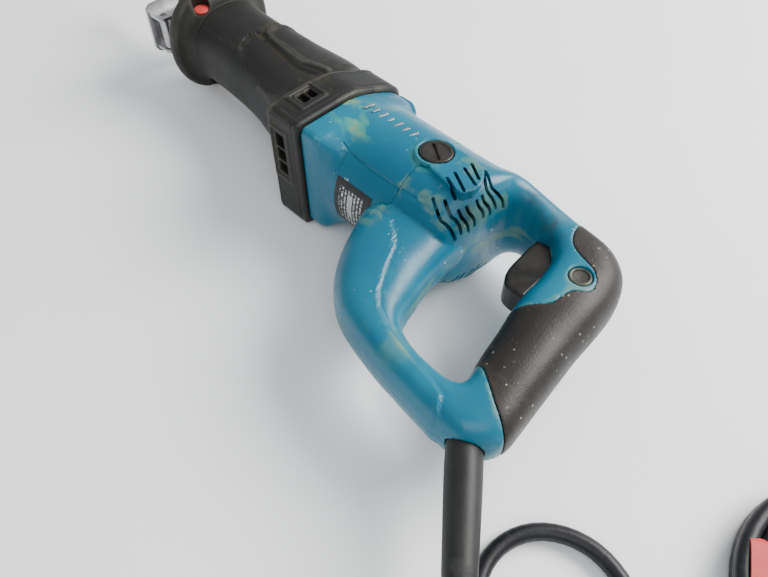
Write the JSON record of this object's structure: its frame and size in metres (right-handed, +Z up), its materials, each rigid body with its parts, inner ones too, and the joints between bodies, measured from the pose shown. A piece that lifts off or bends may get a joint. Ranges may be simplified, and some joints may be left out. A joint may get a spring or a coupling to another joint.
{
  "type": "reciprocating saw",
  "caption": "Corded reciprocating saw with a D-handle, trigger, rubber nose boot, tilting shoe, tool-less blade clamp and a coiled mains lead.",
  "frame": {"origin": "on the floor below the motor axis, at the middle of the bumper band the saw lies on", "axes": "+X forward along the tool towards the blade, +Y towards the bottom of the handle, +Z up, the tool's left side"},
  "size_m": [0.7867, 0.3418, 0.092],
  "materials": {
    "teal_plastic": "satin",
    "black_plastic": "satin",
    "gloss_black": "gloss",
    "charcoal_plastic": "matte",
    "boot_rubber": "matte",
    "grip_rubber": "matte",
    "lead_rubber": "satin",
    "red_plastic": "satin",
    "steel": "ground",
    "dark_steel": "blackened",
    "core_steel": "varnished",
    "cast_alloy": "cast",
    "brass": "satin",
    "copper": "enamelled",
    "carbon": "matte",
    "plate_film": "satin"
  },
  "bodies": {
    "body": {"motor_housing": "teal_plastic", "handle_left": "teal_plastic", "handle_right": "teal_plastic", "grip_left": "grip_rubber", "grip_right": "grip_rubber", "bumper_band": "charcoal_plastic", "boot": "boot_rubber", "gear_housing": "cast_alloy", "gear_cover": "cast_alloy", "gear_cover_screws": "steel", "baffle": "black_plastic", "stator_core": "core_steel", "stator_coils": "copper", "brush_holders": "brass", "carbon_brushes": "carbon", "brush_springs": "steel", "brush_caps": "black_plastic", "front_bearing": "steel", "rear_bearing": "steel", "crank_bearings": "steel", "rod_bushes": "brass", "rod_seal": "boot_rubber", "switch_body": "black_plastic", "trigger_spring": "steel", "lock_spring": "steel", "cord_clamp": "black_plastic", "cord_guard": "lead_rubber", "inner_lead": "lead_rubber", "handle_screws": "dark_steel", "band_screws": "dark_steel", "rating_plate": "plate_film", "cord": "lead_rubber", "cord_coil": "lead_rubber", "cord_tie": "red_plastic", "plug_body": "lead_rubber", "plug_pins": "brass"},
    "armature": {"armature_shaft": "steel", "armature_core": "core_steel", "armature_coils": "copper", "commutator": "copper", "fan": "black_plastic"},
    "crank": {"crank_gear": "steel", "crank_shaft": "steel", "crank_pin": "steel"},
    "slider": {"slider_rod": "steel", "slider_yoke": "steel", "yoke_roller": "steel", "blade_holder": "dark_steel", "clamp_pin": "steel", "blade": "steel", "clamp_spring": "steel"},
    "clamp_sleeve": {"clamp_sleeve": "dark_steel"},
    "shoe_holder": {"shoe_holder": "steel", "shoe_rivet": "steel"},
    "shoe": {"shoe": "steel"},
    "shoe_button": {"shoe_button": "red_plastic"},
    "trigger": {"trigger": "gloss_black"},
    "lock_button": {"lock_button": "charcoal_plastic"}
  },
  "joints": [
    {"name": "armature_spin", "type": "hinge", "parent": "body", "child": "armature", "pos_m": [0, 0, 0.046], "axis": [1, 0, 0], "continuous": true},
    {"name": "crank_spin", "type": "hinge", "parent": "body", "child": "crank", "pos_m": [0.06612, 0, 0.046], "axis": [0, 1, 0], "continuous": true},
    {"name": "blade_stroke", "type": "slide", "parent": "body", "child": "slider", "axis": [1, 0, 0], "range_m": [0, 0.028]},
    {"name": "sleeve_turn", "type": "hinge", "parent": "slider", "child": "clamp_sleeve", "pos_m": [0.157, -0.025, 0.046], "axis": [1, 0, 0], "range_deg": [0, 60], "stiffness_Nm_per_rad": 0.05},
    {"name": "shoe_slide", "type": "slide", "parent": "body", "child": "shoe_holder", "axis": [1, 0, 0], "range_m": [0, 0.03]},
    {"name": "shoe_tilt", "type": "hinge", "parent": "shoe_holder", "child": "shoe", "pos_m": [0.199, 0.007, 0.046], "axis": [0, 0, 1], "range_deg": [-10, 10]},
    {"name": "shoe_button_press", "type": "slide", "parent": "body", "child": "shoe_button", "axis": [0, 0, -1], "range_m": [0, 0.003]},
    {"name": "trigger_pull", "type": "slide", "parent": "body", "child": "trigger", "axis": [-1, 0, 0], "range_m": [0, 0.007], "stiffness_N_per_m": 600, "deforming": ["trigger_spring"]},
    {"name": "lock_press", "type": "slide", "parent": "body", "child": "lock_button", "axis": [0, 0, -1], "range_m": [0, 0.003], "stiffness_N_per_m": 400, "deforming": ["lock_spring"]}
  ],
  "couplings": [
    {"joint": "crank_spin", "follows": "armature_spin", "ratio": -0.2}
  ]
}
